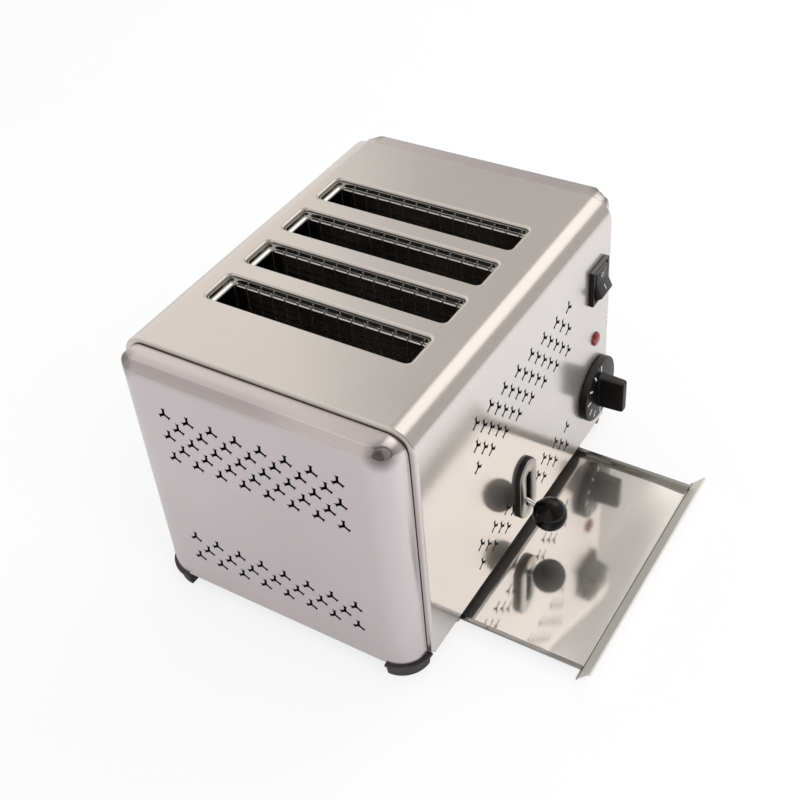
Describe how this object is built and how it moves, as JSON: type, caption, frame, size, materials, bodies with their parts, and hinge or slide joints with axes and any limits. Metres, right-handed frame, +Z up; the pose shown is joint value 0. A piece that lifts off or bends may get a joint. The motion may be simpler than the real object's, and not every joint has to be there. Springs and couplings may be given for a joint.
{
  "type": "toaster",
  "caption": "Catering toaster in sheet steel with slots across the top, drawn end caps, a ball lever, a timer knob, a rocker switch and a pulled-out crumb tray.",
  "frame": {"origin": "on the floor, under the middle of the whole object with its tray as pictured", "axes": "+Z up, +X along the row of slots, -Y to the front with the controls and the tray"},
  "size_m": [0.301, 0.3066, 0.202],
  "materials": {
    "brushed_casing": "brushed, warm grey",
    "polished_steel": "polished",
    "zinc_steel": "dull, plated",
    "foot_rubber": "satin black",
    "mica_board": "matt board with flat ribbon",
    "black_plastic": "satin black",
    "gloss_ball": "glossy black",
    "red_lens": "glossy red",
    "cream_plastic": "matt"
  },
  "bodies": {
    "casing": {"base_plate": "zinc_steel", "chassis_end_left": "zinc_steel", "chassis_end_right": "zinc_steel", "cord_gland": "foot_rubber", "element_1": "mica_board", "element_2": "mica_board", "element_3": "mica_board", "element_4": "mica_board", "element_5": "mica_board", "end_cap_left": "brushed_casing", "end_cap_right": "brushed_casing", "foot_back_left": "foot_rubber", "foot_back_right": "foot_rubber", "foot_front_left": "foot_rubber", "foot_front_right": "foot_rubber", "foot_screw_back_left": "zinc_steel", "foot_screw_back_right": "zinc_steel", "foot_screw_front_left": "zinc_steel", "foot_screw_front_right": "zinc_steel", "front_shield": "zinc_steel", "guard_1_left": "polished_steel", "guard_1_right": "polished_steel", "guard_2_left": "polished_steel", "guard_2_right": "polished_steel", "guard_3_left": "polished_steel", "guard_3_right": "polished_steel", "guard_4_left": "polished_steel", "guard_4_right": "polished_steel", "guide_rod_left": "polished_steel", "guide_rod_right": "polished_steel", "lamp_body": "cream_plastic", "lamp_lens": "red_lens", "lever_plate": "polished_steel", "pivot_bracket": "zinc_steel", "pivot_pin": "polished_steel", "rear_shield": "zinc_steel", "side_shield_left": "zinc_steel", "side_shield_right": "zinc_steel", "slot_frame_1": "polished_steel", "slot_frame_2": "polished_steel", "slot_frame_3": "polished_steel", "slot_frame_4": "polished_steel", "switch_housing": "black_plastic", "timer_body": "cream_plastic", "tray_rail_left": "zinc_steel", "tray_rail_right": "zinc_steel", "wrap_cover": "brushed_casing"},
    "tray": {"crumb_tray": "polished_steel"},
    "lever": {"lever_arm": "polished_steel", "lever_ball": "gloss_ball"},
    "carriage": {"rack_carriage": "zinc_steel", "bread_rack_1": "polished_steel", "bread_rack_2": "polished_steel", "bread_rack_3": "polished_steel", "bread_rack_4": "polished_steel"},
    "knob": {"timer_knob": "black_plastic", "timer_shaft": "zinc_steel"},
    "rocker": {"switch_rocker": "black_plastic"}
  },
  "joints": [
    {"name": "tray_slide", "type": "slide", "parent": "casing", "child": "tray", "axis": [0, -1, 0], "range_m": [-0.084, 0.06]},
    {"name": "lever_tilt", "type": "hinge", "parent": "casing", "child": "lever", "pos_m": [-0.0028, -0.0273, 0.051], "axis": [-1, 0, 0], "range_deg": [0, 37.2]},
    {"name": "rack_lower", "type": "slide", "parent": "casing", "child": "carriage", "axis": [0, 0, -1], "range_m": [0, 0.06]},
    {"name": "timer_turn", "type": "hinge", "parent": "casing", "child": "knob", "pos_m": [0.108, -0.059, 0.055], "axis": [0, 1, 0], "range_deg": [0, 300]},
    {"name": "rocker_tip", "type": "hinge", "parent": "casing", "child": "rocker", "pos_m": [0.1071, -0.0573, 0.1511], "axis": [1, 0, 0], "range_deg": [0, 28]}
  ],
  "couplings": [
    {"joint": "rack_lower", "follows": "lever_tilt", "m_per_rad": 0.0924}
  ]
}
